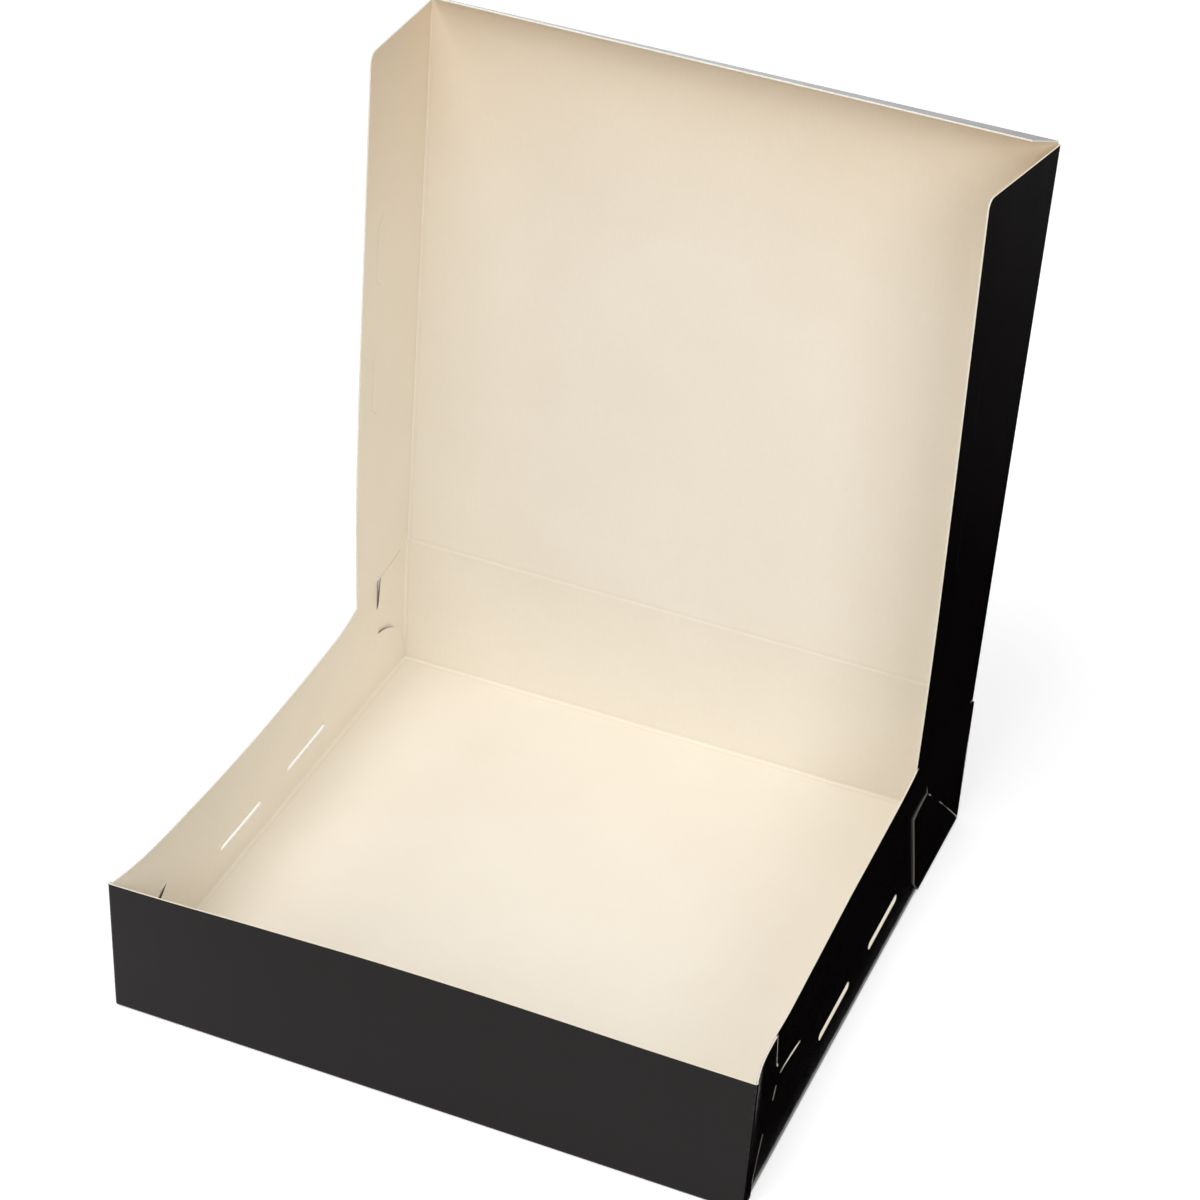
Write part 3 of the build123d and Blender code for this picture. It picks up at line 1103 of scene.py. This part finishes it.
def creaseTree():
    # Inputs: the strip's length along X, its reach at each side of the fold, how far it is turned
    group, node, given = newGroup("creaseStrip", {"Float": ("Length", "Reach", "Turn", "Board", "Ridge")})

    def count(operation, *values):
        return maths(group, operation, *values)

    grid = node("GeometryNodeMeshGrid", {
        "Size X": given["Length"], "Size Y": 1.0,
        "Vertices X": crease["stepsAlong"], "Vertices Y": crease["stepsAcross"]})
    parts = node("ShaderNodeSeparateXYZ", {0: node("GeometryNodeInputPosition")[0]})
    capture = addNode(group, "GeometryNodeCaptureAttribute")
    capture.capture_items.new("FLOAT", "along")
    capture.capture_items.new("FLOAT", "across")
    setInputs(group, capture, {"Geometry": grid["Mesh"], "along": parts["X"], "across": parts["Y"]})
    flat, along, across = (capture.outputs[key] for key in ("Geometry", "along", "across"))
    halfTurn = count("MULTIPLY", given["Turn"], 0.5)
    radius = count("DIVIDE", given["Reach"], count("TANGENT", halfTurn))
    apex = count("DIVIDE", given["Reach"], count("SINE", halfTurn))
    angle = count("MULTIPLY", across, given["Turn"])
    halfBoard = count("MULTIPLY", given["Board"], 0.5)
    swell = count("MULTIPLY", count("COSINE", count("MULTIPLY", across, math.pi)), given["Ridge"])

    def surface(geometry, distance, selection=True):
        # puts points at that distance from the arc's centre, seen from the fold line
        place = node("ShaderNodeCombineXYZ", {
            "X": along, "Y": count("MULTIPLY", count("SINE", angle), distance),
            "Z": count("SUBTRACT", apex, count("MULTIPLY", count("COSINE", angle), distance))})
        return node("GeometryNodeSetPosition", {
            "Geometry": geometry, "Selection": selection, "Position": place[0]})[0]

    inside = surface(flat, count("SUBTRACT", count("SUBTRACT", radius, halfBoard), swell))
    extrude = node("GeometryNodeExtrudeMesh", {
        "Mesh": inside, "Offset Scale": crease["extrude"] * mm, "Individual": False}, mode="FACES")
    outside = surface(extrude["Mesh"], count("ADD", radius, halfBoard), extrude["Top"])
    outside = paint(group, paint(group, outside, blackOutside), cutEdge, extrude["Side"])
    join = addNode(group, "GeometryNodeJoinGeometry")
    for part in (paint(group, inside, creamInside), outside):
        group.links.new(part, join.inputs[0])
    merge = node("GeometryNodeMergeByDistance", {
        "Geometry": join.outputs[0], "Distance": crease["mergeGap"] * mm})
    node("NodeGroupOutput", {0: node("GeometryNodeRealizeInstances", {0: merge[0]})[0]})
    return group


def makeCrease(name, length, reach, turn, corner, foldDir, inDir, bodies):
    # corner: the middle of the fold line. inDir points into the fold, halfway between its panels.
    # bodies: what the strip's near and far sides would move with; it is not used to attach the strip
    values = {"Length": length * mm, "Reach": reach * mm, "Turn": math.radians(turn),
              "Board": board * mm, "Ridge": crease["ridge"] * mm}
    mesh = runGroup(name, creaseGroup, values)
    sideDir = np.cross(inDir, foldDir)
    columns = (foldDir, sideDir, inDir, corner * mm)
    mesh.transform(Matrix([[column[k] for column in columns] for k in range(3)] + [[0, 0, 0, 1]]))
    setAttribute(mesh, "foldLightShadeAndWear", np.full(len(mesh.vertices), crease["mark"]))
    piece = finishMesh(name, mesh)
    start, end = corner * mm - sideDir * reach * mm, corner * mm + sideDir * reach * mm
    if bodies[0] == "far":
        start, end = end, start
    tuple(start)
    tuple(end)
    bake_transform(piece)
    return piece


creaseGroup = creaseTree()
lidMiddle = hingePlace + lidUp * (sideFlap["rearGap"] + lidLength - sideFlap["endGap"]) / 2
flapSpan = lidLength - sideFlap["endGap"] - sideFlap["rearGap"]
hingeIn = unit(lidForward + np.array([0.0, -1.0, 0.0]))
lean = math.degrees(math.acos(lidUp[2]))
# the lid leans back, so its hinge is bent the other way
makeCrease("hingeCrease", 2 * (flapFoldX - crease["endGap"]), lid["reach"], -lean,
           hingePlace, acrossDir, hingeIn, ("near", "tray", "lid"))
for sideName, sideSign in sides.items():
    past = float(flapTurns[sideSign](0.5))
    inward = -sideSign * acrossDir
    flapDir = turned(math.radians(past), lidForward, inward)
    makeCrease(sideName + "FlapCrease", flapSpan, lid["creaseReach"], 90 + past,
               np.array([sideSign * flapFoldX, 0, 0]) + lidMiddle, lidUp, unit(flapDir + inward),
               ("near" if sideSign < 0 else "far", "lid", sideName + "_flap"))
fold = math.radians((frontFlap["foldLeft"] + frontFlap["foldRight"]) / 2)
frontIn = unit(turned(fold, lidUp, lidForward) - lidUp)
makeCrease("frontFlapCrease", 2 * halfFlap, lid["creaseReach"], math.degrees(fold), frontFoldPlace,
           acrossDir, frontIn, ("near", "lid", "front_flap"))
print("creases made")

# Which body each piece moves with, and which node it stands for
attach(trayBody, "tray")
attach(lidPanel, "lid")
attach(leftFlap, "left_flap")
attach(rightFlap, "right_flap")
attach(frontFlapPanel, "front_flap")
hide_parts("tray")
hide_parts("lid")
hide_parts("left_flap")
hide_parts("right_flap")
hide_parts("front_flap")

# Floor, lights and world
stage = {
    "floorReach": 7.0,
    "floorHeight": -0.0004,
    "floorColour": (0.86, 0.86, 0.86, 1.0),
    "floorRoughness": 0.9,
    "floorGlow": 0.50,
    "worldStrength": 0.22,
    "cardLow": (0.1503, -0.153),  # black card on the floor at the right, seen in the gloss only, so that it paints a dark reflection on the box's right side
    "cardHigh": (1.5, 1.6),
    "cardHeight": 0.001,
    "cardGlowPlaces": (0.35, 0.60, 0.85, 1.0),  # y, and how bright the card is there; its glow is a painted reflection on the black faces
    "cardGlow": (0.0, 0.03, 0.10, 0.3),
}


def backgroundRays(tree):
    # 1 for the rays that show the background, 0 for those that light the object
    rays = addNode(tree, "ShaderNodeLightPath").outputs
    mirrored = maths(tree, "MAXIMUM", rays["Is Glossy Ray"], rays["Is Transmission Ray"])
    return maths(tree, "MAXIMUM", rays["Is Camera Ray"], mirrored)


def makeLevel(name, low, high, height, material):
    # A level rectangle of the stage
    (x0, y0), (x1, y1) = low, high
    mesh = bpy.data.meshes.new(name)
    corners = [(x0, y0, height), (x1, y0, height), (x1, y1, height), (x0, y1, height)]
    mesh.from_pydata(corners, [], [(0, 1, 2, 3)])
    mesh.materials.append(material)
    level = addObject(name, mesh)
    return level


material, tree, shader, place = newMaterial("floorWhite")
setInputs(tree, shader, {
    "Base Color": stage["floorColour"],
    "Roughness": stage["floorRoughness"],
    "Specular IOR Level": 0.0,
    "Emission Color": (*plain, 1.0),
    "Emission Strength": maths(tree, "MULTIPLY", backgroundRays(tree), stage["floorGlow"]),
})
reach = stage["floorReach"]
makeLevel("floor", (-reach, -reach), (reach, reach), stage["floorHeight"], material)

material, tree, shader, place = newMaterial("cardBlack")
depth = addNode(tree, "ShaderNodeSeparateXYZ", {0: place}).outputs["Y"]
setInputs(tree, shader, {
    "Base Color": (*none, 1.0),
    "Roughness": 1.0,
    "Specular IOR Level": 0.0,
    "Emission Color": ramp(tree, depth, stage["cardGlowPlaces"], [(g, g, g) for g in stage["cardGlow"]]),
    "Emission Strength": 1.0,
})
card = makeLevel("blackCard", stage["cardLow"], stage["cardHigh"], stage["cardHeight"], material)
card.visible_camera = card.visible_diffuse = False
card.visible_shadow = card.visible_transmission = False

world = bpy.data.worlds.new("studio")
bpy.context.scene.world = world
world.use_nodes = True
tree = world.node_tree
tree.nodes.clear()
strength = scaled(tree, backgroundRays(tree), stage["worldStrength"], 1.0)
background = addNode(tree, "ShaderNodeBackground", {"Color": (*plain, 1.0), "Strength": strength})
addNode(tree, "ShaderNodeOutputWorld", {"Surface": background.outputs[0]})

lamps = {
    "key": {"place": (-0.4, -1.25, 2.45), "size": 1.3, "power": 27.0},
    "top": {"place": (0.2, 0.1, 2.6), "size": 1.6, "power": 10.0},
    "left": {"place": (-2.0, -0.9, 1.3), "size": 1.4, "power": 9.5},
    "right": {"place": (1.5, -1.9, 1.6), "size": 1.2, "power": 27.0},
}
lampAim = (0, 0, 0.1)
for name, lamp in lamps.items():
    data = bpy.data.lights.new(name, "AREA")
    data.shape = "SQUARE"
    data.size = lamp["size"]
    data.energy = lamp["power"]
    light = addObject(name, data)
    light.location = lamp["place"]
    light.rotation_euler = (Vector(lampAim) - light.location).to_track_quat("-Z", "Y").to_euler()

camera = {
    "place": (0.43627, -1.14739, 1.01621),
    "angles": (54.6904, -3.2427, 22.5322),
    "sensor": 36.0,
    "lens": 101.863,
    "shiftY": 0.0417,
    "clip": (0.05, 50.0),
}
data = bpy.data.cameras.new("camera")
data.sensor_width = camera["sensor"]
data.lens = camera["lens"]
data.shift_y = camera["shiftY"]
data.clip_start, data.clip_end = camera["clip"]
view = addObject("camera", data)
view.location = camera["place"]
view.rotation_euler = [math.radians(a) for a in camera["angles"]]
bpy.context.scene.camera = view
bpy.context.scene.view_settings.view_transform = "Standard"
print("stage, lamps and camera made")
